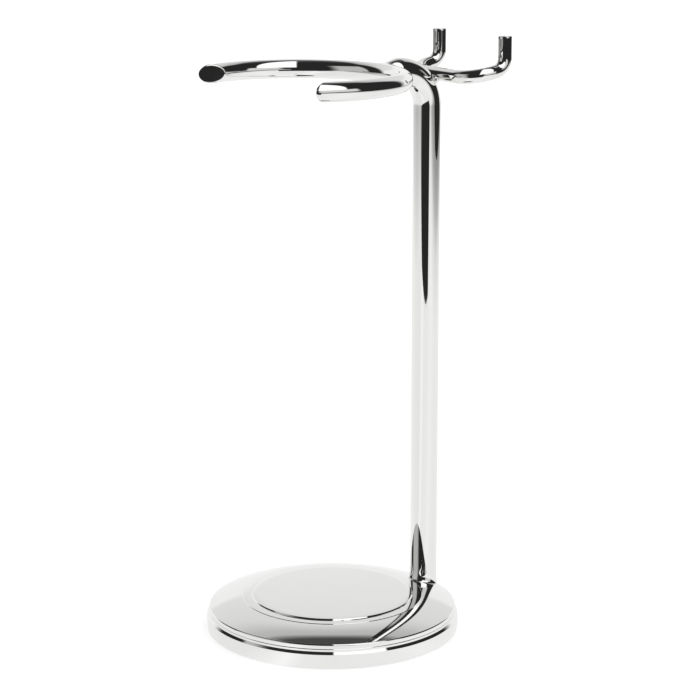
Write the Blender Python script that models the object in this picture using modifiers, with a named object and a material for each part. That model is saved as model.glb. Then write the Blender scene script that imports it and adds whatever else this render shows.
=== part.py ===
"""Stand for a shaving brush and a safety razor, chrome plated.

A weighted round base carries a bent post near its rim. An open ring on the
post's front end holds the brush by its neck, and a two-pronged fork behind the
bend holds the razor under its head.

Frame: metres, +Z up, origin under the middle of the base pad. The post stands
at +Y, the ring opens towards -Y, and the ring and fork are turned a little
about the post, whose round socket lets them be set square by eye.
"""
import math

import bmesh
import bpy
from mathutils import Matrix, Vector

MM = 0.001
GAP = 0.3 * MM                 # clearance left between neighbouring pieces
MERGE = 0.01 * MM              # merge distance of the turned shapes

# Base
BASE_RADIUS = 36.7 * MM
SKIRT_FOOT_Z = 0.4 * MM        # lower edge of the cover, above the pad's underside
SKIRT_TOP_Z = 4.35 * MM
CHAMFER_TOP_Z = 5.05 * MM
CHAMFER_RADIUS = 36.1 * MM
RIM_RADIUS = 35.9 * MM         # short upright rim between the chamfer and the dome
RIM_FOOT_Z = 5.75 * MM
RIM_GROOVE = 0.1 * MM
RIM_ROUND = 0.5 * MM
RIM_ROUND_Z = 6.65 * MM
DOME_EDGE_R = 35.6 * MM
DOME_EDGE_Z = 7.1 * MM
DOME_START_R = 26.3 * MM       # inner edge of the domed shoulder
DOME_START_Z = 9.55 * MM
DOME_START_SLOPE = 0.13
DOME_STEP = 0.12 * MM          # width of the step down to the dome
LEDGE_Z = 9.78 * MM            # narrow ledge between dome and plateau
LEDGE_FALL = 0.09 * MM
PLATEAU_STEP = 0.25 * MM       # width of the step down to the ledge
PLATEAU_R = 23.3 * MM
PLATEAU_FALL = 0.05 * MM
PLATEAU_ROUND_R = 21.8 * MM    # where the plateau starts to fall
PLATEAU_Z = 10.2 * MM
COVER_WALL = 1.6 * MM
TURNED_STEPS = 72

# Weight and pad under the cover
PAD_RADIUS = 34.5 * MM
PAD_THICKNESS = 1.0 * MM
WEIGHT_RADIUS = 34.4 * MM
WEIGHT_EDGE_Z = 4.3 * MM
WEIGHT_TOP_R = 23.0 * MM

# Post
POST_RADIUS = 4.0 * MM
POST_Y = 31.6 * MM             # distance of the post's axis from the base's axis
POST_BEND_RADIUS = 10.0 * MM
TOP_AXIS_Z = 161.0 * MM        # height of the ring and of the post's front end
TOP_TURN = math.radians(5.5)   # turn of the post, ring and fork about the post's axis
SOCKET_FLOOR_Z = 6.95 * MM
BOSS_RADIUS = 6.2 * MM
BOSS_BOTTOM_Z = 4.5 * MM
BOSS_STEPS = 32
ROD_SIDES = 16

# Screw that holds the post
SCREW_RADIUS = 2.0 * MM
SCREW_HEAD_RADIUS = 3.3 * MM
SCREW_HEAD_HEIGHT = 1.9 * MM
SCREW_TIP_Z = 17.0 * MM
SOCKET_KEY_RADIUS = 1.4 * MM
SOCKET_KEY_DEPTH = 1.1 * MM
WASHER_OUTER = 3.5 * MM
WASHER_THICKNESS = 0.7 * MM
WASHER_SLIT = 0.6 * MM
WASHER_SLIT_TILT = math.radians(25)
SCREW_STEPS = 24
KEY_SIDES = 6

# Brush ring
RING_RADIUS = 29.0 * MM        # to the middle of the rod
RING_ROD_RADIUS = 2.75 * MM
RING_REACH = 45.2 * MM         # from the post's axis to the middle of the ring
RING_GAP_HALF_ANGLE = math.radians(68.5)
RING_END_SPLAY = math.radians(25.0)   # how far each end face opens outwards
RING_SPARE = 0.45              # extra turn of the rod, cut off with the mouth
RING_STEPS = 72
RING_NOTCH = 0.5               # turn of the ring, to each side of the post, that the cutters follow
MOUTH_MARGIN = 12.0 * MM

# Razor fork
FORK_ROD_RADIUS = 2.0 * MM
FORK_HALF_WIDTH = 14.9 * MM
FORK_REACH = 16.3 * MM         # from the post's axis back to the prongs
FORK_MIDDLE_Z = 159.3 * MM
FORK_ARM_Z = 161.5 * MM
FORK_TIP_Z = 170.8 * MM
FORK_PLAN_BEND = 7.5 * MM
FORK_TIP_BEND = 4.0 * MM

# Brazed joints
BRAZE = 0.4 * MM               # thickness of the filler between two rods
RING_BRAZE_RADIUS = 3.7 * MM
RING_BRAZE_START = 0.8 * MM    # from the middle of the ring's rod
FORK_BRAZE_RADIUS = 2.5 * MM
BEND_TO_FORK = POST_BEND_RADIUS + POST_RADIUS + BRAZE + 2 * GAP + FORK_ROD_RADIUS

PARTS = "shaving_stand"
CUTTERS = "cutters"


def clear_scene():
    for obj in list(bpy.data.objects):
        bpy.data.objects.remove(obj, do_unlink=True)
    for collection in list(bpy.data.collections):
        bpy.data.collections.remove(collection)


def new_collection(name):
    collection = bpy.data.collections.new(name)
    bpy.context.scene.collection.children.link(collection)
    return collection


def material(name, colour, metallic, roughness):
    mat = bpy.data.materials.new(name)
    mat.use_nodes = True
    shader = mat.node_tree.nodes["Principled BSDF"]
    shader.inputs["Base Color"].default_value = (*colour, 1.0)
    shader.inputs["Metallic"].default_value = metallic
    shader.inputs["Roughness"].default_value = roughness
    return mat


def add_object(name, mesh, collection, mat=None):
    obj = bpy.data.objects.new(name, mesh)
    bpy.data.collections[collection].objects.link(obj)
    if mat is not None:
        mesh.materials.append(mat)
    if collection == CUTTERS:
        obj.hide_render = True
        obj.display_type = "WIRE"
    return obj


def set_on_post(obj):
    """Stand an object on the post's axis, turned with the top."""
    obj.location = (0.0, POST_Y, 0.0)
    obj.rotation_euler = (0.0, 0.0, TOP_TURN)


def arc_points(centre, radius, start, end, count):
    """Points (r, z) on an arc, angles in radians from +r towards +z."""
    points = []
    for i in range(count + 1):
        angle = start + (end - start) * i / count
        points.append((centre[0] + radius * math.cos(angle), centre[1] + radius * math.sin(angle)))
    return points


def turned(name, profile, collection, mat=None, centre=(0.0, 0.0), steps=TURNED_STEPS):
    """Solid of revolution from (r, z) points that run from the top, down the outer side."""
    mesh = bpy.data.meshes.new(name)
    verts = [(r, 0.0, z) for r, z in profile]
    mesh.from_pydata(verts, [(i, i + 1) for i in range(len(verts) - 1)], [])
    obj = add_object(name, mesh, collection, mat)
    obj.location = (centre[0], centre[1], 0.0)
    screw = obj.modifiers.new("turn", "SCREW")
    screw.steps = steps
    screw.render_steps = steps
    screw.use_merge_vertices = True
    screw.merge_threshold = MERGE
    return obj


def boolean(obj, cutter, operation="DIFFERENCE"):
    modifier = obj.modifiers.new(operation.lower() + "_" + cutter.name, "BOOLEAN")
    modifier.operation = operation
    modifier.solver = "EXACT"
    modifier.object = cutter


def disc_profile(radius, bottom, top):
    return [(0.0, top), (radius, top), (radius, bottom), (0.0, bottom)]


def rounded_path(corners, radii, arc_steps):
    """Corner points joined by straight runs, each inner corner rounded to its radius."""
    corners = [Vector(c) for c in corners]
    path = [corners[0]]
    for before, corner, after, radius in zip(corners, corners[1:], corners[2:], radii):
        into = (corner - before).normalized()
        out = (after - corner).normalized()
        turn = into.angle(out)
        reach = radius * math.tan(turn / 2)
        start = corner - into * reach
        side = (out - into * into.dot(out)).normalized()
        for i in range(arc_steps + 1):
            angle = turn * i / arc_steps
            path.append(start + into * radius * math.sin(angle) + side * radius * (1 - math.cos(angle)))
    path.append(corners[-1])
    return path


def rod(name, path, radius, collection, mat=None):
    """Round rod along a path: a bevelled curve with filled caps, turned into a mesh.

    The path is measured from the post's axis, and turns with the top about it.
    """
    curve = bpy.data.curves.new(name + "_curve", "CURVE")
    curve.dimensions = "3D"
    curve.bevel_depth = radius
    curve.bevel_resolution = ROD_SIDES // 2 - 2
    curve.use_fill_caps = True
    spline = curve.splines.new("POLY")
    spline.points.add(len(path) - 1)
    for point, place in zip(spline.points, path):
        point.co = (*place, 1.0)
    guide = add_object(name + "_curve", curve, CUTTERS)
    set_on_post(guide)
    bpy.context.view_layer.update()
    depsgraph = bpy.context.evaluated_depsgraph_get()
    mesh = bpy.data.meshes.new_from_object(guide.evaluated_get(depsgraph))
    mesh.name = name
    bm = bmesh.new()
    bm.from_mesh(mesh)
    bmesh.ops.remove_doubles(bm, verts=bm.verts, dist=MERGE)
    bmesh.ops.recalc_face_normals(bm, faces=bm.faces)
    bm.to_mesh(mesh)
    bm.free()
    obj = add_object(name, mesh, collection, mat)
    obj.matrix_world = guide.matrix_world
    bpy.data.objects.remove(guide, do_unlink=True)
    return obj


def smooth(obj, angle=math.radians(35)):
    obj.data.shade_smooth()
    obj.data.set_sharp_from_angle(angle=angle)


def dome_height(radius):
    """Height of the domed shoulder: a parabola through its two edges."""
    run = DOME_EDGE_R - DOME_START_R
    drop = DOME_START_Z - DOME_EDGE_Z
    curvature = (drop - DOME_START_SLOPE * run) / run**2
    x = radius - DOME_START_R
    return DOME_START_Z - DOME_START_SLOPE * x - curvature * x * x


def dome_points(drop=0.0, count=7):
    points = []
    for i in range(count + 1):
        radius = DOME_START_R + (DOME_EDGE_R - DOME_START_R) * i / count
        points.append((radius, dome_height(radius) - drop))
    return points


def cover_outside():
    """Outer profile of the cover, from its middle out to the foot of the skirt."""
    profile = [(0.0, PLATEAU_Z), (PLATEAU_ROUND_R, PLATEAU_Z), (PLATEAU_R, PLATEAU_Z - PLATEAU_FALL)]
    profile += [(PLATEAU_R + PLATEAU_STEP, LEDGE_Z), (DOME_START_R - DOME_STEP, LEDGE_Z - LEDGE_FALL)]
    profile += dome_points()
    profile += arc_points((RIM_RADIUS - RIM_ROUND, RIM_ROUND_Z), RIM_ROUND, math.radians(60), 0.0, 4)
    profile += [(RIM_RADIUS, RIM_FOOT_Z), (CHAMFER_RADIUS, RIM_FOOT_Z - RIM_GROOVE)]
    profile += [(CHAMFER_RADIUS, CHAMFER_TOP_Z), (BASE_RADIUS, SKIRT_TOP_Z), (BASE_RADIUS, SKIRT_FOOT_Z)]
    return profile


def cover_inside():
    """Inner profile of the cover, from the foot of the skirt back to its middle."""
    inner_radius = BASE_RADIUS - COVER_WALL
    profile = [(inner_radius, SKIRT_FOOT_Z), (inner_radius, DOME_EDGE_Z - COVER_WALL)]
    profile += [(r, z) for r, z in reversed(dome_points(COVER_WALL, 4)[:-1])]
    profile += [(0.0, DOME_START_Z - COVER_WALL)]
    return profile


def build_cover(mat):
    cover = turned("base_cover", cover_outside() + cover_inside(), PARTS, mat)
    # The boss under the dome follows the dome's own shape, a little below its surface.
    envelope_profile = [(0.0, DOME_START_Z - COVER_WALL / 2)] + dome_points(COVER_WALL / 2)
    envelope_profile += [(DOME_EDGE_R, BOSS_BOTTOM_Z), (0.0, BOSS_BOTTOM_Z)]
    boss = turned("post_boss", envelope_profile, CUTTERS)
    column = turned("boss_column", disc_profile(BOSS_RADIUS, 0.0, PLATEAU_Z), CUTTERS,
                    centre=(0.0, POST_Y), steps=BOSS_STEPS)
    boolean(boss, column, "INTERSECT")
    boolean(cover, boss, "UNION")
    socket = turned("post_socket", disc_profile(POST_RADIUS + GAP, SOCKET_FLOOR_Z, 2 * PLATEAU_Z),
                    CUTTERS, centre=(0.0, POST_Y), steps=BOSS_STEPS)
    boolean(cover, socket)
    recess = turned("washer_recess", disc_profile(WASHER_OUTER + GAP, 0.0, BOSS_BOTTOM_Z), CUTTERS,
                    centre=(0.0, POST_Y), steps=BOSS_STEPS)
    boolean(cover, recess)
    hole = turned("screw_hole", disc_profile(SCREW_RADIUS + GAP, 0.0, PLATEAU_Z), CUTTERS,
                  centre=(0.0, POST_Y), steps=SCREW_STEPS)
    boolean(cover, hole)
    return cover


def build_weight(mat):
    top = DOME_START_Z - COVER_WALL - GAP
    bottom = PAD_THICKNESS + GAP
    profile = [(0.0, top), (WEIGHT_TOP_R, top), (WEIGHT_RADIUS, WEIGHT_EDGE_Z),
               (WEIGHT_RADIUS, bottom), (0.0, bottom)]
    weight = turned("base_weight", profile, PARTS, mat)
    notch = turned("boss_clearance", disc_profile(BOSS_RADIUS + GAP, 0.0, 2 * PLATEAU_Z), CUTTERS,
                   centre=(0.0, POST_Y), steps=BOSS_STEPS)
    boolean(weight, notch)
    return weight


def build_pad(mat):
    return turned("base_pad", disc_profile(PAD_RADIUS, 0.0, PAD_THICKNESS), PARTS, mat)


def post_path():
    foot = (0.0, 0.0, SOCKET_FLOOR_Z + GAP)
    corner = (0.0, 0.0, TOP_AXIS_Z)
    front = (0.0, RING_RADIUS + RING_BRAZE_START - RING_REACH, TOP_AXIS_Z)
    return rounded_path([foot, corner, front], [POST_BEND_RADIUS], 12)


def ring_path(start, end, count):
    """Points round the ring; the angle is 0 at the post and grows to both sides."""
    points = []
    for i in range(count + 1):
        angle = start + (end - start) * i / count
        across = RING_RADIUS * math.sin(angle)
        points.append(Vector((across, RING_RADIUS * math.cos(angle) - RING_REACH, TOP_AXIS_Z)))
    return points


def ring_tube(name, radius):
    """Cutter that follows the ring's rod where the post meets it."""
    return rod(name, ring_path(-RING_NOTCH, RING_NOTCH, 12), radius, CUTTERS)


def build_post(mat):
    post = rod("post", post_path(), POST_RADIUS, PARTS, mat)
    boolean(post, ring_tube("ring_notch", RING_ROD_RADIUS + BRAZE + 2 * GAP))
    thread = turned("tapped_hole", disc_profile(SCREW_RADIUS + GAP, 0.0, SCREW_TIP_Z + 2 * GAP), CUTTERS,
                    centre=(0.0, POST_Y), steps=SCREW_STEPS)
    boolean(post, thread)
    return post


def build_screw(mat):
    head_bottom = PAD_THICKNESS + GAP
    head_top = head_bottom + SCREW_HEAD_HEIGHT
    profile = [(0.0, SCREW_TIP_Z), (SCREW_RADIUS - GAP, SCREW_TIP_Z), (SCREW_RADIUS, SCREW_TIP_Z - GAP),
               (SCREW_RADIUS, head_top), (SCREW_HEAD_RADIUS, head_top)]
    profile += [(SCREW_HEAD_RADIUS, head_bottom + 2 * GAP), (SCREW_HEAD_RADIUS - 3 * GAP, head_bottom),
                (0.0, head_bottom)]
    screw = turned("post_screw", profile, PARTS, mat, centre=(0.0, POST_Y), steps=SCREW_STEPS)
    key = turned("key_socket", disc_profile(SOCKET_KEY_RADIUS, 0.0, head_bottom + SOCKET_KEY_DEPTH), CUTTERS,
                 centre=(0.0, POST_Y), steps=KEY_SIDES)
    boolean(screw, key)
    return screw


def build_washer(mat):
    bottom = PAD_THICKNESS + SCREW_HEAD_HEIGHT + 2 * GAP
    top = bottom + WASHER_THICKNESS
    inner = SCREW_RADIUS + GAP
    profile = [(inner, top), (WASHER_OUTER, top), (WASHER_OUTER, bottom), (inner, bottom), (inner, top)]
    washer = turned("lock_washer", profile, PARTS, mat, centre=(0.0, POST_Y), steps=BOSS_STEPS)
    mesh = bpy.data.meshes.new("washer_slit")
    bm = bmesh.new()
    bmesh.ops.create_cube(bm, size=1.0)
    slit_length = 2 * WASHER_OUTER
    tilt = Matrix.Rotation(WASHER_SLIT_TILT, 4, "X")
    scale = Matrix.Diagonal((slit_length, WASHER_SLIT, 4 * WASHER_THICKNESS, 1.0))
    place = Matrix.Translation((slit_length / 2, POST_Y, (bottom + top) / 2))
    bm.transform(place @ tilt @ scale)
    bm.to_mesh(mesh)
    bm.free()
    slit = add_object("washer_slit", mesh, CUTTERS)
    boolean(washer, slit)
    return washer


def build_ring(mat):
    reach = math.pi - RING_GAP_HALF_ANGLE + RING_SPARE
    ring = rod("brush_ring", ring_path(-reach, reach, RING_STEPS), RING_ROD_RADIUS, PARTS, mat)
    boolean(ring, ring_mouth_cutter())
    return ring


def ring_mouth_cutter():
    """Tapered block that cuts the mouth: its sides are the oblique end faces of the rod."""
    half = RING_RADIUS * math.sin(RING_GAP_HALF_ANGLE)
    end_y = -RING_REACH - RING_RADIUS * math.cos(RING_GAP_HALF_ANGLE)
    back = end_y + MOUTH_MARGIN
    front = -RING_REACH - RING_RADIUS - MOUTH_MARGIN
    slope = math.tan(RING_END_SPLAY)
    mesh = bpy.data.meshes.new("ring_mouth")
    bm = bmesh.new()
    bmesh.ops.create_cube(bm, size=1.0)
    for vert in bm.verts:
        y = back if vert.co.y > 0 else front
        x = half + (end_y - y) * slope
        vert.co = (math.copysign(x, vert.co.x), y, TOP_AXIS_Z + vert.co.z * 4 * RING_ROD_RADIUS)
    bmesh.ops.recalc_face_normals(bm, faces=bm.faces)
    bm.to_mesh(mesh)
    bm.free()
    mouth = add_object("ring_mouth", mesh, CUTTERS)
    set_on_post(mouth)
    return mouth


def behind_bend(distance):
    """Point behind the bend at the fork's height, this far from the middle of the bend's curve."""
    bend_z = TOP_AXIS_Z - POST_BEND_RADIUS
    rise = FORK_MIDDLE_Z - bend_z
    back = math.sqrt(BEND_TO_FORK**2 - rise**2)
    share = distance / BEND_TO_FORK
    return (0.0, back * share - POST_BEND_RADIUS, bend_z + rise * share)


def fork_path():
    """From one tip down, forward round the back of the bend, and up to the other tip."""
    back_y = behind_bend(BEND_TO_FORK)[1]
    right = [(FORK_HALF_WIDTH, back_y, FORK_MIDDLE_Z), (FORK_HALF_WIDTH, FORK_REACH, FORK_ARM_Z),
             (FORK_HALF_WIDTH, FORK_REACH, FORK_TIP_Z)]
    left = [(-x, y, z) for x, y, z in reversed(right)]
    radii = [FORK_TIP_BEND, FORK_PLAN_BEND, FORK_PLAN_BEND, FORK_TIP_BEND]
    return rounded_path(left + right, radii, 8)


def build_fork(mat):
    return rod("razor_fork", fork_path(), FORK_ROD_RADIUS, PARTS, mat)


def build_ring_braze(mat):
    """Saddle of filler between the ring's rod and the hollowed end of the post."""
    start = RING_RADIUS + RING_BRAZE_START - RING_REACH
    path = [(0.0, start, TOP_AXIS_Z), (0.0, start + 2 * RING_ROD_RADIUS, TOP_AXIS_Z)]
    braze = rod("ring_braze", path, RING_BRAZE_RADIUS, PARTS, mat)
    boolean(braze, ring_tube("braze_outside", RING_ROD_RADIUS + BRAZE + GAP), "INTERSECT")
    boolean(braze, ring_tube("braze_inside", RING_ROD_RADIUS + GAP))
    return braze


def build_fork_braze(mat):
    """Bead of filler between the back of the bend and the fork's rod."""
    mesh = bpy.data.meshes.new("fork_braze")
    bm = bmesh.new()
    bmesh.ops.create_uvsphere(bm, u_segments=20, v_segments=12, radius=FORK_BRAZE_RADIUS)
    bm.to_mesh(mesh)
    bm.free()
    braze = add_object("fork_braze", mesh, PARTS, mat)
    bead_centre = behind_bend(POST_BEND_RADIUS + POST_RADIUS + GAP + BRAZE / 2)
    mesh.transform(Matrix.Translation(bead_centre))
    set_on_post(braze)
    boolean(braze, rod("braze_post_side", post_path(), POST_RADIUS + GAP, CUTTERS))
    boolean(braze, rod("braze_fork_side", fork_path(), FORK_ROD_RADIUS + GAP, CUTTERS))
    return braze


def chrome_plate(name):
    return material(name, (0.86, 0.87, 0.87), 1.0, 0.04)


def zinc_plate(name):
    return material(name, (0.62, 0.62, 0.60), 1.0, 0.35)


def main():
    clear_scene()
    new_collection(PARTS)
    new_collection(CUTTERS)
    build_cover(chrome_plate("cover_chrome"))
    build_weight(material("weight_cast_iron", (0.10, 0.10, 0.11), 0.9, 0.65))
    build_pad(material("pad_foam", (0.03, 0.03, 0.03), 0.0, 0.9))
    build_post(chrome_plate("post_chrome"))
    build_screw(zinc_plate("screw_zinc"))
    build_washer(zinc_plate("washer_zinc"))
    build_ring(chrome_plate("ring_chrome"))
    build_ring_braze(chrome_plate("ring_braze_chrome"))
    build_fork(chrome_plate("fork_chrome"))
    build_fork_braze(chrome_plate("fork_braze_chrome"))
    for obj in bpy.data.collections[PARTS].objects:
        smooth(obj)


main()
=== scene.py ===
"""Looks of the chrome-plated shaving stand: fine meshes, materials, studio and camera."""
import math

import bmesh
import bpy
from mathutils import Matrix, Vector, noise


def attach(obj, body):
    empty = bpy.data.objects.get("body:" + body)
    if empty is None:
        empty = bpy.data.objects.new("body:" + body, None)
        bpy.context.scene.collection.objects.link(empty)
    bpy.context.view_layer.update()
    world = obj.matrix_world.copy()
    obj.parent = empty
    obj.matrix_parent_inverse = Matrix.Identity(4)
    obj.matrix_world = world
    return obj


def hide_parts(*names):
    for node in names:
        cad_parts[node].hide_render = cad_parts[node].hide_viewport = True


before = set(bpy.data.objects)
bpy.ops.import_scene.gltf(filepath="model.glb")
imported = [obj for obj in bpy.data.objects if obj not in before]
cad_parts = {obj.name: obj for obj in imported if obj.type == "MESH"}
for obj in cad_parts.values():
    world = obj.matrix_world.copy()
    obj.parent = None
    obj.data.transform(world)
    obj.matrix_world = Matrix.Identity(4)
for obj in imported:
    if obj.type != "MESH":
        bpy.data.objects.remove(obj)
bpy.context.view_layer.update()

MM = 0.001

# Camera: where it stands, from the base's middle, and what it looks at
CAMERA_AZIMUTH = math.radians(59.65)
CAMERA_DISTANCE = 632.6 * MM
CAMERA_HEIGHT = 230.9 * MM
CAMERA_LENS = 117.0
CAMERA_SENSOR = 36.0
CAMERA_NEAR_CLIP = 0.01
AIM_Z = 82.8 * MM
AIM_SIDE = 5.2 * MM

# Studio axes: x to the camera's right, y away from it. Azimuth is in degrees from the direction towards
# the camera, positive to its right; elevation is in degrees above level.
STUDIO_TURN = math.radians(60.8)
# Lights, as (place, tone) stops or as one tone
DARK_TONE = 0.022
SWEEP_TONES = ((0, 0.95), (17.5, 0.93), (20.2, 0.80), (36, 0.75), (41.4, 0.66), (47, 0.54), (51.5, 0.50),
               (54, 0.24), (56.7, 0.07), (90, 0.06))
LEFT_BOARD_TONE = 0.52
RIGHT_BOARD_TONE = 0.72
SOFTBOX_TONE = 1.25
# Edges of the lights: 0 at the first angle and full at the second
SWEEP_SIDE_EDGE = (122, 136)
LEFT_BOARD_EDGES = ((-101, -95), (-40, -58))
LEFT_BOARD_TOP = (46, 38)
RIGHT_BOARD_EDGES = ((14, 26), (66, 60))
RIGHT_BOARD_TOP = (26, 22)
RIGHT_BOARD_FOOT = (-1, 1)
SOFTBOX_FOOT = (20, 26)
# Table: tones by azimuth, then by metres to the camera's right
TABLE_TONES = ((-180, 0.96), (-127, 0.94), (-96, 0.89), (-48, 0.87), (-34, 0.95), (-25, 1.04), (-16, 0.92),
               (0, 0.90), (28, 0.92), (46, 0.97), (66, 0.93), (95, 0.90), (135, 0.94), (180, 0.96))
TABLE_HALF_WIDTH = 2.0
TABLE_SIDE_TONES = ((-2.0, 0.18), (-1.5, 0.28), (-1.25, 0.50), (-1.02, 0.67), (-0.82, 0.74),
                    (-0.66, 0.86), (-0.5, 1.0), (0.40, 1.0), (0.50, 0.93), (0.58, 0.86), (0.72, 0.55),
                    (0.89, 0.38), (2.0, 0.1))
TABLE_OUTLINE = ((-3.0, 3.0), (-3.0, -1.3), (-0.95, -0.70), (-0.28, -0.43), (0.17, -0.43), (0.45, -1.1),
                 (1.3, -0.9), (0.95, -0.3), (0.95, 3.0))
TABLE_Z = -0.1 * MM
FLOOR_SIZE = 4.0
FLOOR_GREY = 0.85
FLOOR_GLOW = 0.35

# Base cover
BASE_RADIUS = 36.7 * MM
SKIRT_FOOT_Z = 0.4 * MM
SKIRT_TOP_Z = 4.35 * MM
CHAMFER_TOP_Z = 5.05 * MM
CHAMFER_RADIUS = 36.1 * MM
RIM_RADIUS = 35.9 * MM
RIM_FOOT_Z = 5.75 * MM
RIM_GROOVE = 0.1 * MM
RIM_ROUND = 0.5 * MM
RIM_ROUND_Z = 6.65 * MM
DOME_EDGE_R = 35.6 * MM
DOME_EDGE_Z = 7.1 * MM
DOME_START_R = 26.3 * MM
DOME_START_Z = 9.55 * MM
DOME_START_SLOPE = 0.13
DOME_STEP = 0.12 * MM
LEDGE_Z = 9.78 * MM
LEDGE_FALL = 0.09 * MM
PLATEAU_STEP = 0.25 * MM
PLATEAU_R = 23.3 * MM
PLATEAU_FALL = 0.05 * MM
PLATEAU_ROUND_R = 21.8 * MM
PLATEAU_Z = 10.2 * MM
COVER_WALL = 1.6 * MM

# Post, ring and fork, measured from the post's axis
POST_RADIUS = 4.0 * MM
POST_Y = 31.6 * MM
POST_FOOT_Z = 6.2 * MM
POST_BEND_RADIUS = 10.0 * MM
TOP_AXIS_Z = 161.0 * MM
TOP_TURN = math.radians(5.5)
RING_RADIUS = 29.0 * MM
RING_ROD_RADIUS = 2.75 * MM
RING_REACH = 45.2 * MM
RING_GAP_HALF_ANGLE = math.radians(68.5)
RING_END_SPLAY = math.radians(25.0)
FORK_ROD_RADIUS = 2.0 * MM
FORK_HALF_WIDTH = 14.9 * MM
FORK_REACH = 16.3 * MM
FORK_MIDDLE_Z = 159.3 * MM
FORK_ARM_Z = 161.5 * MM
FORK_TIP_Z = 170.8 * MM
FORK_PLAN_BEND = 7.5 * MM
FORK_TIP_BEND = 4.0 * MM

# Joints
FILLET_HEIGHT = 3.0 * MM
FILLET_WIDTH = 0.8 * MM
FILLET_SINK = 0.6 * MM
RING_BLEND = 2.6 * MM
JOINT_GAP = 1.0 * MM
BEAD_WIDTH, BEAD_DEPTH, BEAD_HEIGHT = 1.8 * MM, 1.2 * MM, 1.3 * MM

# Fine points of the meshes
CAP_BORDER = 0.04
ROD_EDGE = 0.25 * MM
FORK_EDGE = 0.2 * MM
RING_EDGE = 0.35 * MM


# ---------------------------------------------------------------- materials

def node(tree, kind, **inputs):
    made = tree.nodes.new(kind)
    for name, value in inputs.items():
        made.inputs[name.replace("_", " ")].default_value = value
    return made


def chrome(name, grey=0.9):
    """Polished chrome plate: faint haze in the gloss and the tint, and a very fine grain in the bump."""
    mat = bpy.data.materials.new(name)
    mat.use_nodes = True
    tree = mat.node_tree
    shader = tree.nodes["Principled BSDF"]
    shader.inputs["Metallic"].default_value = 1.0
    coords = tree.nodes.new("ShaderNodeTexCoord")
    haze = node(tree, "ShaderNodeTexNoise", Scale=55.0, Detail=4.0, Roughness=0.6)
    tree.links.new(coords.outputs["Object"], haze.inputs["Vector"])
    gloss = tree.nodes.new("ShaderNodeMapRange")
    gloss.inputs["From Min"].default_value = 0.35
    gloss.inputs["From Max"].default_value = 0.75
    gloss.inputs["To Min"].default_value = 0.012
    gloss.inputs["To Max"].default_value = 0.05
    tree.links.new(haze.outputs["Fac"], gloss.inputs["Value"])
    tree.links.new(gloss.outputs["Result"], shader.inputs["Roughness"])
    tint = tree.nodes.new("ShaderNodeMix")
    tint.data_type = "RGBA"
    tint.inputs["A"].default_value = (grey, grey, grey * 0.99, 1.0)
    tint.inputs["B"].default_value = (grey * 0.965, grey * 0.96, grey * 0.945, 1.0)
    tree.links.new(haze.outputs["Fac"], tint.inputs["Factor"])
    tree.links.new(tint.outputs["Result"], shader.inputs["Base Color"])
    grain = node(tree, "ShaderNodeTexNoise", Scale=900.0, Detail=2.0)
    tree.links.new(coords.outputs["Object"], grain.inputs["Vector"])
    bump = tree.nodes.new("ShaderNodeBump")
    bump.inputs["Strength"].default_value = 0.02
    bump.inputs["Distance"].default_value = 0.02 * MM
    tree.links.new(grain.outputs["Fac"], bump.inputs["Height"])
    tree.links.new(bump.outputs["Normal"], shader.inputs["Normal"])
    return mat


def rough_material(name, dark, light, metallic, rough_low, rough_high, scale, bump_mm):
    """Cast, plated or foam surface: two tones mixed by noise, uneven gloss and a grain in the bump."""
    mat = bpy.data.materials.new(name)
    mat.use_nodes = True
    tree = mat.node_tree
    shader = tree.nodes["Principled BSDF"]
    shader.inputs["Metallic"].default_value = metallic
    coords = tree.nodes.new("ShaderNodeTexCoord")
    grain = node(tree, "ShaderNodeTexNoise", Scale=scale, Detail=6.0, Roughness=0.65)
    tree.links.new(coords.outputs["Object"], grain.inputs["Vector"])
    tone = tree.nodes.new("ShaderNodeMix")
    tone.data_type = "RGBA"
    tone.inputs["A"].default_value = (*dark, 1.0)
    tone.inputs["B"].default_value = (*light, 1.0)
    tree.links.new(grain.outputs["Fac"], tone.inputs["Factor"])
    tree.links.new(tone.outputs["Result"], shader.inputs["Base Color"])
    gloss = tree.nodes.new("ShaderNodeMapRange")
    gloss.inputs["To Min"].default_value = rough_low
    gloss.inputs["To Max"].default_value = rough_high
    tree.links.new(grain.outputs["Fac"], gloss.inputs["Value"])
    tree.links.new(gloss.outputs["Result"], shader.inputs["Roughness"])
    bump = tree.nodes.new("ShaderNodeBump")
    bump.inputs["Strength"].default_value = 0.6
    bump.inputs["Distance"].default_value = bump_mm * MM
    tree.links.new(grain.outputs["Fac"], bump.inputs["Height"])
    tree.links.new(bump.outputs["Normal"], shader.inputs["Normal"])
    return mat


# ---------------------------------------------------------------- shapes

def add_mesh(name, bm, mat):
    bmesh.ops.recalc_face_normals(bm, faces=bm.faces)
    mesh = bpy.data.meshes.new(name)
    bm.to_mesh(mesh)
    bm.free()
    mesh.materials.append(mat)
    mesh.shade_smooth()
    obj = bpy.data.objects.new(name, mesh)
    bpy.context.scene.collection.objects.link(obj)
    return obj


def bridge_rings(bm, rings, closed=False):
    """Quads between neighbouring rings of vertices; a ring is a closed loop."""
    pairs = list(zip(rings, rings[1:]))
    if closed:
        pairs.append((rings[-1], rings[0]))
    for a, b in pairs:
        count = len(a)
        for i in range(count):
            j = (i + 1) % count
            bm.faces.new((a[i], a[j], b[j], b[i]))


def cap(bm, ring, centre):
    """Flat end with a narrow border, so that the rounded edge's shading doesn't run across it."""
    centre = Vector(centre)
    inset = [bm.verts.new(v.co.lerp(centre, CAP_BORDER)) for v in ring]
    bridge_rings(bm, [ring, inset])
    middle = bm.verts.new(centre)
    count = len(ring)
    for i in range(count):
        bm.faces.new((inset[i], inset[(i + 1) % count], middle))


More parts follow.
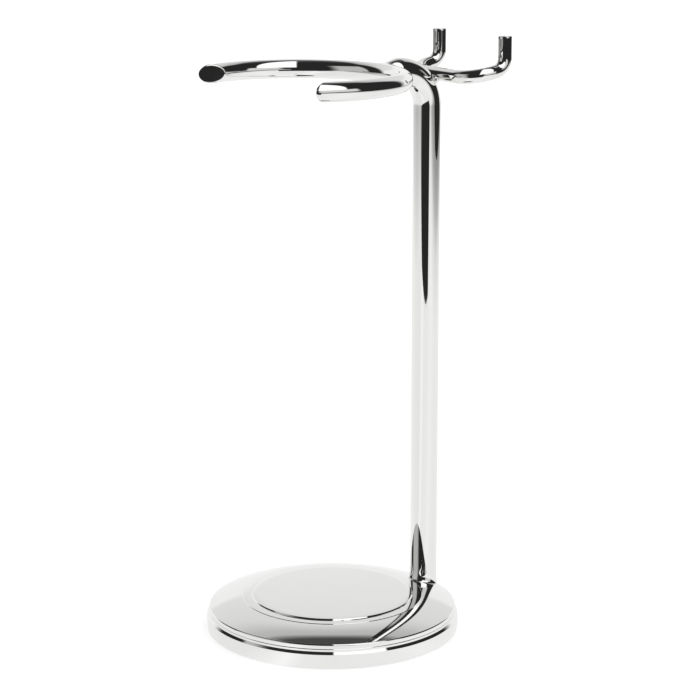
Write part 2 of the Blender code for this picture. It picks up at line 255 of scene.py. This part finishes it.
def lathe(name, profile, mat, segments=384):
    """Closed solid turned from (r, z) points; the first and last point are on the axis."""
    bm = bmesh.new()
    rings = []
    for r, z in profile[1:-1]:
        ring = []
        for i in range(segments):
            angle = 2 * math.pi * i / segments
            ring.append(bm.verts.new((r * math.cos(angle), r * math.sin(angle), z)))
        rings.append(ring)
    bridge_rings(bm, rings)
    cap(bm, rings[0], (0, 0, profile[0][1]))
    cap(bm, rings[-1], (0, 0, profile[-1][1]))
    return add_mesh(name, bm, mat)


def arc(centre, radius, start, end, count):
    """(r, z) points of an arc between two angles in degrees."""
    points = []
    for i in range(count + 1):
        angle = math.radians(start + (end - start) * i / count)
        points.append((centre[0] + radius * math.cos(angle), centre[1] + radius * math.sin(angle)))
    return points


def round_corners(points, radii, steps=6):
    """(r, z) outline with each inner corner rounded to its radius."""
    flat = [Vector((r, z, 0.0)) for r, z in points]
    rounded = rounded_path(flat, radii, steps)
    return [(p.x, p.y) for p in rounded]


def rounded_path(corners, radii, arc_steps):
    """Path through the corners, with each inner corner replaced by an arc of its radius."""
    corners = [Vector(c) for c in corners]
    path = [corners[0]]
    for before, corner, after, radius in zip(corners, corners[1:], corners[2:], radii):
        into = (corner - before).normalized()
        out = (after - corner).normalized()
        turn = into.angle(out)
        if radius == 0 or turn < 1e-4:
            path.append(corner)
            continue
        reach = radius * math.tan(turn / 2)
        start = corner - into * reach
        side = (out - into * into.dot(out)).normalized()
        for i in range(arc_steps + 1):
            angle = turn * i / arc_steps
            path.append(start + into * radius * math.sin(angle) + side * radius * (1 - math.cos(angle)))
    path.append(corners[-1])
    return path


def tube(name, path, radius, mat, sides=96, edge=ROD_EDGE, section=None):
    """Round rod along a path, with flat ends and small rounded edges.

    The cross-section is carried along the path without twist. section(axis, place), if given, moves each
    surface point; axis is the path's point that it belongs to.
    """
    path = spread_ends(path, edge)
    tangents = []
    for i, point in enumerate(path):
        before = path[max(i - 1, 0)]
        after = path[min(i + 1, len(path) - 1)]
        tangents.append((after - before).normalized())
    normal = tangents[0].orthogonal().normalized()
    bm = bmesh.new()
    rings = []
    run = 0.0
    total = sum((b - a).length for a, b in zip(path, path[1:]))
    for i, (point, tangent) in enumerate(zip(path, tangents)):
        if i:
            run += (point - path[i - 1]).length
        normal = (normal - tangent * normal.dot(tangent)).normalized()
        binormal = tangent.cross(normal)
        near_end = min(run, total - run)
        shrink = 0.0
        if near_end < edge:
            shrink = edge - math.sqrt(max(edge**2 - (edge - near_end) ** 2, 0.0))
        ring = []
        for k in range(sides):
            angle = 2 * math.pi * k / sides
            offset = (normal * math.cos(angle) + binormal * math.sin(angle)) * (radius - shrink)
            place = point + offset
            if section:
                place = section(point, place)
            ring.append(bm.verts.new(place))
        rings.append(ring)
    bridge_rings(bm, rings)
    cap(bm, rings[0], sum((v.co for v in rings[0]), Vector()) / sides)
    cap(bm, rings[-1], sum((v.co for v in rings[-1]), Vector()) / sides)
    obj = add_mesh(name, bm, mat)
    obj.data.set_sharp_from_angle(angle=math.radians(50))
    return obj


def spread_ends(path, edge, count=5):
    """Adds closely spaced points within one edge radius of both ends."""
    def near(start, towards):
        way = (towards - start).normalized()
        return [start + way * edge * (1 - math.cos(math.pi / 2 * i / count)) for i in range(count + 1)]
    head = near(path[0], path[1])
    tail = near(path[-1], path[-2])
    return head + list(path[1:-1]) + list(reversed(tail))


def set_on_post(obj):
    """Moves a piece made round the post's axis to the post, turned as the post's top is."""
    obj.matrix_world = Matrix.Translation((0, POST_Y, 0)) @ Matrix.Rotation(TOP_TURN, 4, "Z")


# ---------------------------------------------------------------- pieces

def dome_height(radius):
    """Height of the domed shoulder: a parabola from its start's height and slope to its edge."""
    run = DOME_EDGE_R - DOME_START_R
    curvature = (DOME_START_Z - DOME_EDGE_Z - DOME_START_SLOPE * run) / run**2
    x = radius - DOME_START_R
    return DOME_START_Z - DOME_START_SLOPE * x - curvature * x * x


def dome_points(drop, count):
    """(r, z) points of the dome's slope, this far below its surface."""
    width = DOME_EDGE_R - DOME_START_R
    radii = [DOME_START_R + width * i / count for i in range(count + 1)]
    return [(r, dome_height(r) - drop) for r in radii]


def crown(start, end, fall, top, count):
    """(r, z) points of a tier that starts level and curves down by this much at its outer edge."""
    return [(start + (end - start) * i / count, top - fall * (i / count) ** 2) for i in range(count + 1)]


def make_cover(mat):
    """Plateau, ledge and dome, each a tier that curves down to a small crisp step."""
    level = [(PLATEAU_ROUND_R * i / 24, PLATEAU_Z) for i in range(24)]
    plateau = crown(PLATEAU_ROUND_R, PLATEAU_R, PLATEAU_FALL, PLATEAU_Z, 10)
    ledge = crown(PLATEAU_R + PLATEAU_STEP, DOME_START_R - DOME_STEP, LEDGE_FALL, LEDGE_Z, 16)
    dome = dome_points(0.0, 70)
    steps = round_corners([plateau[-2], plateau[-1], ledge[0], ledge[1]], [0.15 * MM, 0.08 * MM])
    brink = round_corners([ledge[-2], ledge[-1], dome[0], dome[1]], [0.08 * MM, 0.05 * MM])
    profile = level + plateau[:-1] + steps[1:-1] + ledge[1:-1] + brink[1:-1] + dome[1:]
    round_centre = (RIM_RADIUS - RIM_ROUND, RIM_ROUND_Z)
    profile += arc(round_centre, RIM_ROUND, 62, 0, 14)
    skirt = [(RIM_RADIUS, RIM_FOOT_Z), (CHAMFER_RADIUS, RIM_FOOT_Z - RIM_GROOVE),
             (CHAMFER_RADIUS, CHAMFER_TOP_Z), (BASE_RADIUS, SKIRT_TOP_Z),
             (BASE_RADIUS, SKIRT_FOOT_Z), (BASE_RADIUS - COVER_WALL, SKIRT_FOOT_Z),
             (BASE_RADIUS - COVER_WALL, DOME_EDGE_Z - COVER_WALL)]
    radii = [0.05 * MM, 0.05 * MM, 0.08 * MM, 0.12 * MM, 0.25 * MM, 0.25 * MM]
    profile += round_corners([profile[-1]] + skirt, radii)[1:]
    profile += list(reversed(dome_points(COVER_WALL, 12)))[1:]
    profile += [(0.0, DOME_START_Z - COVER_WALL)]
    cover = lathe("cover_shell", profile, mat)
    cover.data.set_sharp_from_angle(angle=math.radians(40))
    return cover


def cover_top(x, y):
    """Height of the cover's top, near the post, above the point (x, y)."""
    radius = math.hypot(x, y)
    if radius < DOME_START_R:
        return LEDGE_Z - LEDGE_FALL / 2
    if radius <= DOME_EDGE_R:
        return dome_height(radius)
    return DOME_EDGE_Z - 1.5 * (radius - DOME_EDGE_R)


def make_foot_fillet(mat, sides=144, steps=16):
    """Hollow sweep between the post and the dome, narrower where the rim is close.

    Its inner faces sit a little inside the post and the cover.
    """
    bm = bmesh.new()
    proud = 0.02 * MM
    narrowing = 0.85
    turns = [2 * math.pi * k / sides for k in range(sides)]
    rings = []
    for i in range(steps + 1):
        angle = math.pi / 2 * i / steps
        out, up = 1 - math.cos(angle), 1 - math.sin(angle)
        ring = []
        for theta in turns:
            outward = max(math.sin(theta), 0.0) ** 2
            radius = POST_RADIUS + proud + FILLET_WIDTH * (1 - narrowing * outward) * out
            x, y = radius * math.cos(theta), POST_Y + radius * math.sin(theta)
            ring.append(bm.verts.new((x, y, cover_top(x, y) + proud + FILLET_HEIGHT * up)))
        rings.append(ring)
    # The hidden foot: inside the cover's wall, then inside the post
    for radius in (POST_RADIUS + 0.1 * MM, POST_RADIUS - 0.3 * MM):
        ring = []
        for theta in turns:
            x, y = radius * math.cos(theta), POST_Y + radius * math.sin(theta)
            ring.append(bm.verts.new((x, y, cover_top(x, y) - FILLET_SINK)))
        rings.append(ring)
    bridge_rings(bm, rings, closed=True)
    fillet = add_mesh("foot_fillet", bm, mat)
    fillet.data.set_sharp_from_angle(angle=math.radians(60))
    return fillet


def stub_scale(y):
    """Radius of the post's front end, as a share: it tapers to the ring's rod and ends round."""
    middle = RING_RADIUS - RING_REACH
    bend_end = -POST_BEND_RADIUS
    slim = RING_ROD_RADIUS / POST_RADIUS
    least = 0.02
    if y > bend_end:
        return 1.0
    if y > middle:
        share = (bend_end - y) / (bend_end - middle)
        return 1.0 - (1.0 - slim) * share * share * (3 - 2 * share)
    past = min((middle - y) / RING_ROD_RADIUS, 1.0)
    return slim * math.sqrt(max(1.0 - past * past, least * least))


def post_distance(point):
    """Distance of a point, measured from the post's axis, to the surface of the post's top."""
    x, y, z = point
    if z > TOP_AXIS_Z - POST_BEND_RADIUS and y > -POST_BEND_RADIUS:
        bend = math.hypot(y + POST_BEND_RADIUS, z - TOP_AXIS_Z + POST_BEND_RADIUS) - POST_BEND_RADIUS
        return math.hypot(x, bend) - POST_RADIUS
    if z <= TOP_AXIS_Z - POST_BEND_RADIUS:
        return math.hypot(x, y) - POST_RADIUS
    tip = RING_RADIUS - RING_REACH
    if y < tip:
        return math.sqrt(x * x + (y - tip) ** 2 + (z - TOP_AXIS_Z) ** 2) - RING_ROD_RADIUS
    return math.hypot(x, z - TOP_AXIS_Z) - POST_RADIUS * stub_scale(y)


def grow_onto_post(point, outward, blend):
    """Moves a rod's surface point outwards, to the soft union of its rod and the post.

    Points well inside the post stay, and so do those on the side that faces away from the post.
    """
    buried = -0.2 * MM
    halvings = 22
    most = 0.6 * blend
    if not buried <= post_distance(point) <= blend:
        return point
    low, high = 0.0, blend
    for _ in range(halvings):
        trial = (low + high) / 2
        gap = post_distance(point + outward * trial)
        overlap = max(blend - abs(trial - gap), 0.0) / blend
        if min(trial, gap) - overlap * overlap * blend / 4 < 0:
            low = trial
        else:
            high = trial
    share = min(max((point.y - RING_RADIUS + RING_REACH) / RING_ROD_RADIUS, 0.0), 1.0)
    return point + outward * min(low, most) * share


def make_post(mat):
    """Bent rod from the cover's socket to the middle of the ring's rod."""
    tip = RING_RADIUS - RING_REACH - RING_ROD_RADIUS
    corners = [(0, 0, POST_FOOT_Z), (0, 0, TOP_AXIS_Z), (0, tip, TOP_AXIS_Z)]
    path = rounded_path(corners, [POST_BEND_RADIUS], 48)
    path = subdivide(path[:2], 2.0 * MM) + path[2:-1] + subdivide(path[-2:], 0.15 * MM)[1:]

    def taper(axis, place):
        if axis.z <= TOP_AXIS_Z - 0.01 * MM:
            return place
        return axis + (place - axis) * stub_scale(axis.y)

    post = tube("post_rod", path, POST_RADIUS, mat, sides=128, section=taper)
    set_on_post(post)
    return post


def subdivide(path, longest):
    """Splits long straight runs, so that no two neighbours are further apart than this."""
    points = [path[0]]
    for a, b in zip(path, path[1:]):
        count = max(1, math.ceil((b - a).length / longest))
        points += [a.lerp(b, i / count) for i in range(1, count + 1)]
    return points


def make_ring(mat, stations=360, sides=96):
    """Open ring; each lengthwise fibre of its rod ends on the plane of the cut, so the ends are flat."""
    slant = math.sin(RING_GAP_HALF_ANGLE - RING_END_SPLAY)
    bm = bmesh.new()
    rings = []
    for i in range(-stations // 2, stations // 2 + 1):
        share = i / (stations / 2)
        ring = []
        for k in range(sides):
            angle = 2 * math.pi * k / sides
            radius = RING_ROD_RADIUS
            fibre = RING_RADIUS + radius * math.cos(angle)
            limit = fibre_end(fibre, RING_RADIUS * slant)
            along = share * limit
            near_end = (limit - abs(along)) * fibre * slant
            if near_end < RING_EDGE:
                radius -= RING_EDGE - math.sqrt(max(RING_EDGE**2 - (RING_EDGE - near_end) ** 2, 0.0))
            fibre = RING_RADIUS + radius * math.cos(angle)
            place = Vector((fibre * math.sin(along), fibre * math.cos(along) - RING_REACH,
                            TOP_AXIS_Z + radius * math.sin(angle)))
            outward = Vector((math.cos(angle) * math.sin(along), math.cos(angle) * math.cos(along),
                              math.sin(angle)))
            ring.append(bm.verts.new(grow_onto_post(place, outward, RING_BLEND)))
        rings.append(ring)
    bridge_rings(bm, rings)
    for ring in (rings[0], rings[-1]):
        cap(bm, ring, sum((v.co for v in ring), Vector()) / sides)
    ring_obj = add_mesh("ring_rod", bm, mat)
    ring_obj.data.set_sharp_from_angle(angle=math.radians(50))
    set_on_post(ring_obj)
    return ring_obj


def fibre_end(radius, cut_distance):
    """Angle from the post at which a circle of this radius meets the cut's plane, at this distance."""
    return math.pi / 2 - RING_END_SPLAY + math.acos(min(cut_distance / radius, 1.0))


def make_fork(mat):
    """Rod across the back of the post's bend, with its two arms turned back and then up."""
    bend_z = TOP_AXIS_Z - POST_BEND_RADIUS
    rise = FORK_MIDDLE_Z - bend_z
    full = POST_BEND_RADIUS + POST_RADIUS + JOINT_GAP + FORK_ROD_RADIUS
    back_y = math.sqrt(full**2 - rise**2) - POST_BEND_RADIUS
    right = [(FORK_HALF_WIDTH, back_y, FORK_MIDDLE_Z), (FORK_HALF_WIDTH, FORK_REACH, FORK_ARM_Z),
             (FORK_HALF_WIDTH, FORK_REACH, FORK_TIP_Z)]
    left = [(-x, y, z) for x, y, z in reversed(right)]
    radii = [FORK_TIP_BEND, FORK_PLAN_BEND, FORK_PLAN_BEND, FORK_TIP_BEND]
    path = subdivide(rounded_path(left + right, radii, 28), 1.0 * MM)
    fork = tube("fork_rod", path, FORK_ROD_RADIUS, mat, sides=72, edge=FORK_EDGE)
    set_on_post(fork)
    return fork


def make_fork_bead(mat):
    """Lumpy bead of braze between the fork's middle and the back of the bend."""
    centre_z = TOP_AXIS_Z - POST_BEND_RADIUS
    rise = FORK_MIDDLE_Z - centre_z
    reach = POST_BEND_RADIUS + POST_RADIUS + JOINT_GAP / 2
    angle = math.asin(rise / (reach + JOINT_GAP / 2 + FORK_ROD_RADIUS))
    middle = Vector((0, reach * math.cos(angle) - POST_BEND_RADIUS, centre_z + reach * math.sin(angle)))
    outward = Vector((0, math.cos(angle), math.sin(angle)))
    upward = Vector((0, -math.sin(angle), math.cos(angle)))
    bm = bmesh.new()
    bmesh.ops.create_icosphere(bm, subdivisions=5, radius=1.0)
    for vert in bm.verts:
        way = vert.co.copy()
        lump = 1.0 + 0.10 * noise.noise(way * 1.7) + 0.05 * noise.noise(way * 5.0)
        across = Vector((way.x * BEAD_WIDTH, 0, 0))
        vert.co = middle + (across + outward * way.y * BEAD_DEPTH + upward * way.z * BEAD_HEIGHT) * lump
    bead = add_mesh("fork_bead", bm, mat)
    set_on_post(bead)
    return bead


# ---------------------------------------------------------------- studio

def plain_material(name, grey, glow):
    """Matt sheet that also glows by itself, so that no hard shadow falls on it."""
    mat = bpy.data.materials.new(name)
    mat.use_nodes = True
    shader = mat.node_tree.nodes["Principled BSDF"]
    shader.inputs["Base Color"].default_value = (grey, grey, grey, 1.0)
    shader.inputs["Roughness"].default_value = 0.9
    shader.inputs["Specular IOR Level"].default_value = 0.1
    shader.inputs["Emission Color"].default_value = (1.0, 1.0, 1.0, 1.0)
    shader.inputs["Emission Strength"].default_value = glow
    return mat


def flat_sheet(name, outline, z, mat):
    """Level sheet from an outline in the studio's axes."""
    bm = bmesh.new()
    turn = Matrix.Rotation(STUDIO_TURN, 4, "Z")
    bm.faces.new([bm.verts.new(turn @ Vector((x, y, z))) for x, y in outline])
    sheet = add_mesh(name, bm, mat)
    sheet.data.shade_flat()
    return sheet


def tone_ramp(tree, value, stops):
    """Grey tones between stops (place, tone); the first is at 0 and the last at 1."""
    made = tree.nodes.new("ShaderNodeValToRGB")
    ramp = made.color_ramp
    ends = [ramp.elements[0], ramp.elements[1]]
    for (place, tone), end in ((stops[0], ends[0]), (stops[-1], ends[1])):
        end.position = place
        end.color = (tone, tone, tone, 1.0)
    for place, tone in stops[1:-1]:
        ramp.elements.new(place).color = (tone, tone, tone, 1.0)
    tree.links.new(value, made.inputs["Fac"])
    return made.outputs["Color"]


def table_material():
    """White table lit unevenly: its glow changes with azimuth and falls off towards the sides."""
    mat = plain_material("table_light", 0.0, 1.0)
    tree = mat.node_tree
    coords = tree.nodes.new("ShaderNodeTexCoord")
    split = tree.nodes.new("ShaderNodeSeparateXYZ")
    turn = tree.nodes.new("ShaderNodeVectorRotate")
    turn.rotation_type = "Z_AXIS"
    turn.inputs["Angle"].default_value = -STUDIO_TURN
    tree.links.new(coords.outputs["Object"], turn.inputs["Vector"])
    tree.links.new(turn.outputs["Vector"], split.inputs["Vector"])
    right, away, _ = split.outputs
    azimuth = maths(tree, "ARCTAN2", right, maths(tree, "MULTIPLY", away, -1.0))
    place = maths(tree, "ADD", maths(tree, "DIVIDE", azimuth, 2 * math.pi), 0.5)
    glow = tone_ramp(tree, place, [(side / 360 + 0.5, tone) for side, tone in TABLE_TONES])
    width = 2 * TABLE_HALF_WIDTH
    across = maths(tree, "ADD", maths(tree, "DIVIDE", right, width), 0.5)
    fall = tone_ramp(tree, across, [(x / width + 0.5, tone) for x, tone in TABLE_SIDE_TONES])
    shader = tree.nodes["Principled BSDF"]
    tree.links.new(maths(tree, "MULTIPLY", glow, fall), shader.inputs["Emission Color"])
    return mat


def make_floor():
    """The floor as the camera sees it, and the smaller lit table that the chrome reflects."""
    wide = FLOOR_SIZE
    square = [(-wide, -wide), (wide, -wide), (wide, wide), (-wide, wide)]
    floor = flat_sheet("floor", square, 0.0, plain_material("floor_paper", FLOOR_GREY, FLOOR_GLOW))
    floor.visible_glossy = False
    table = flat_sheet("table_reflection", TABLE_OUTLINE, TABLE_Z, table_material())
    table.visible_camera = False
    table.visible_diffuse = False
    table.visible_shadow = False


def maths(tree, operation, first, second=None, clamp=False):
    """Maths node; an input is a socket or a number."""
    made = tree.nodes.new("ShaderNodeMath")
    made.operation = operation
    made.use_clamp = clamp
    for socket, value in zip(made.inputs, (first, second)):
        if value is None:
            continue
        if isinstance(value, (int, float)):
            socket.default_value = value
        else:
            tree.links.new(value, socket)
    return made.outputs[0]


def edge_mask(tree, value, edge):
    """0 at the edge's first value, 1 at its second and smooth between them; the first may be the larger."""
    made = tree.nodes.new("ShaderNodeMapRange")
    made.interpolation_type = "SMOOTHSTEP"
    made.inputs["From Min"].default_value = edge[0]
    made.inputs["From Max"].default_value = edge[1]
    tree.links.new(value, made.inputs["Value"])
    return made.outputs["Result"]


def overlay(tree, under, strength, masks):
    """Lays a light of this strength over what is under it, where all the masks are 1."""
    mask = masks[0]
    for other in masks[1:]:
        mask = maths(tree, "MULTIPLY", mask, other)
    mix = tree.nodes.new("ShaderNodeMix")
    tree.links.new(mask, mix.inputs["Factor"])
    for name, value in (("A", under), ("B", strength)):
        if isinstance(value, (int, float)):
            mix.inputs[name].default_value = value
        else:
            tree.links.new(value, mix.inputs[name])
    return mix.outputs["Result"]


def make_world():
    """A dark studio: a bright sweep behind, a pale board on each side, a softbox at the front right."""
    world = bpy.data.worlds.new("studio")
    bpy.context.scene.world = world
    world.use_nodes = True
    tree = world.node_tree
    background = tree.nodes["Background"]
    coords = tree.nodes.new("ShaderNodeTexCoord")
    turn = tree.nodes.new("ShaderNodeVectorRotate")
    turn.rotation_type = "Z_AXIS"
    turn.inputs["Angle"].default_value = -STUDIO_TURN
    tree.links.new(coords.outputs["Generated"], turn.inputs["Vector"])
    split = tree.nodes.new("ShaderNodeSeparateXYZ")
    tree.links.new(turn.outputs["Vector"], split.inputs["Vector"])
    right, away, up = split.outputs
    near = maths(tree, "MULTIPLY", away, -1.0)
    azimuth = maths(tree, "MULTIPLY", maths(tree, "ARCTAN2", right, near), 180 / math.pi)
    elevation = maths(tree, "MULTIPLY", maths(tree, "ARCSINE", up), 180 / math.pi)
    aside = maths(tree, "ABSOLUTE", azimuth)

    def sides(*edges):
        return [edge_mask(tree, azimuth, edge) for edge in edges]

    def heights(*edges):
        return [edge_mask(tree, elevation, edge) for edge in edges]

    height = maths(tree, "DIVIDE", elevation, 90.0)
    sweep = tone_ramp(tree, height, [(at / 90, tone) for at, tone in SWEEP_TONES])
    light = overlay(tree, DARK_TONE, sweep, [edge_mask(tree, aside, SWEEP_SIDE_EDGE)])
    light = overlay(tree, light, LEFT_BOARD_TONE, sides(*LEFT_BOARD_EDGES) + heights(LEFT_BOARD_TOP))
    light = overlay(tree, light, RIGHT_BOARD_TONE,
                    sides(*RIGHT_BOARD_EDGES) + heights(RIGHT_BOARD_TOP, RIGHT_BOARD_FOOT))
    # The softbox's outer side leans: a plane through the stand cuts it off
    slant = maths(tree, "ADD", maths(tree, "MULTIPLY", right, -0.975), maths(tree, "MULTIPLY", up, 0.33))
    slant = maths(tree, "ADD", slant, near)
    softbox_sides = [edge_mask(tree, right, (-0.01, 0.02)), edge_mask(tree, slant, (-0.03, 0.03))]
    light = overlay(tree, light, SOFTBOX_TONE, softbox_sides + heights(SOFTBOX_FOOT))
    tree.links.new(light, background.inputs["Color"])

    plain = tree.nodes.new("ShaderNodeBackground")
    plain.inputs["Color"].default_value = (1.0, 1.0, 1.0, 1.0)
    path = tree.nodes.new("ShaderNodeLightPath")
    mix = tree.nodes.new("ShaderNodeMixShader")
    tree.links.new(maths(tree, "MAXIMUM", path.outputs["Is Camera Ray"], path.outputs["Is Diffuse Ray"]),
                   mix.inputs["Fac"])
    tree.links.new(background.outputs["Background"], mix.inputs[1])
    tree.links.new(plain.outputs["Background"], mix.inputs[2])
    tree.links.new(mix.outputs["Shader"], tree.nodes["World Output"].inputs["Surface"])


def make_camera():
    """At the photo's place and angle, tilted down to the stand instead of shifted."""
    azimuth = CAMERA_AZIMUTH
    back = Vector((math.sin(azimuth), -math.cos(azimuth), 0.0))
    right = Vector((math.cos(azimuth), math.sin(azimuth), 0.0))
    place = back * CAMERA_DISTANCE + Vector((0, 0, CAMERA_HEIGHT))
    aim = right * AIM_SIDE + Vector((0, 0, AIM_Z))
    data = bpy.data.cameras.new("camera")
    data.lens = CAMERA_LENS
    data.sensor_width = CAMERA_SENSOR
    data.clip_start = CAMERA_NEAR_CLIP
    camera = bpy.data.objects.new("camera", data)
    bpy.context.scene.collection.objects.link(camera)
    camera.location = place
    camera.rotation_euler = (aim - place).to_track_quat("-Z", "Y").to_euler()
    bpy.context.scene.camera = camera


make_camera()
make_world()
make_floor()
plate = chrome("chrome_plate")
for piece, slot, cad_nodes in (
        (make_cover(plate), "chrome_cover", ["base_cover"]),
        (make_foot_fillet(plate), "chrome_post", []),
        (make_post(plate), "chrome_post", ["post"]),
        (make_ring(plate), "chrome_ring", ["brush_ring", "ring_braze"]),
        (make_fork(plate), "chrome_fork", ["razor_fork"]),
        (make_fork_bead(plate), "chrome_braze", ["fork_braze"])):
    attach(piece, "root")
    if cad_nodes:
        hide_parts(*cad_nodes)
iron = rough_material("cast_iron", dark=(0.015, 0.015, 0.017), light=(0.10, 0.10, 0.11), metallic=0.2,
                      rough_low=0.45, rough_high=0.8, scale=500.0, bump_mm=0.15)
zinc = rough_material("zinc_plate", dark=(0.42, 0.42, 0.40), light=(0.66, 0.66, 0.63), metallic=1.0,
                      rough_low=0.22, rough_high=0.42, scale=900.0, bump_mm=0.01)
foam = rough_material("pad_foam", dark=(0.008, 0.008, 0.009), light=(0.045, 0.045, 0.047), metallic=0.0,
                      rough_low=0.8, rough_high=0.95, scale=1400.0, bump_mm=0.12)
inner_parts = {"base_weight": iron, "base_pad": foam, "post_screw": zinc, "lock_washer": zinc}
for cad_node, finish in inner_parts.items():
    for material_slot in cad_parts[cad_node].material_slots:
        material_slot.material = finish
bpy.context.scene.view_settings.view_transform = "Standard"
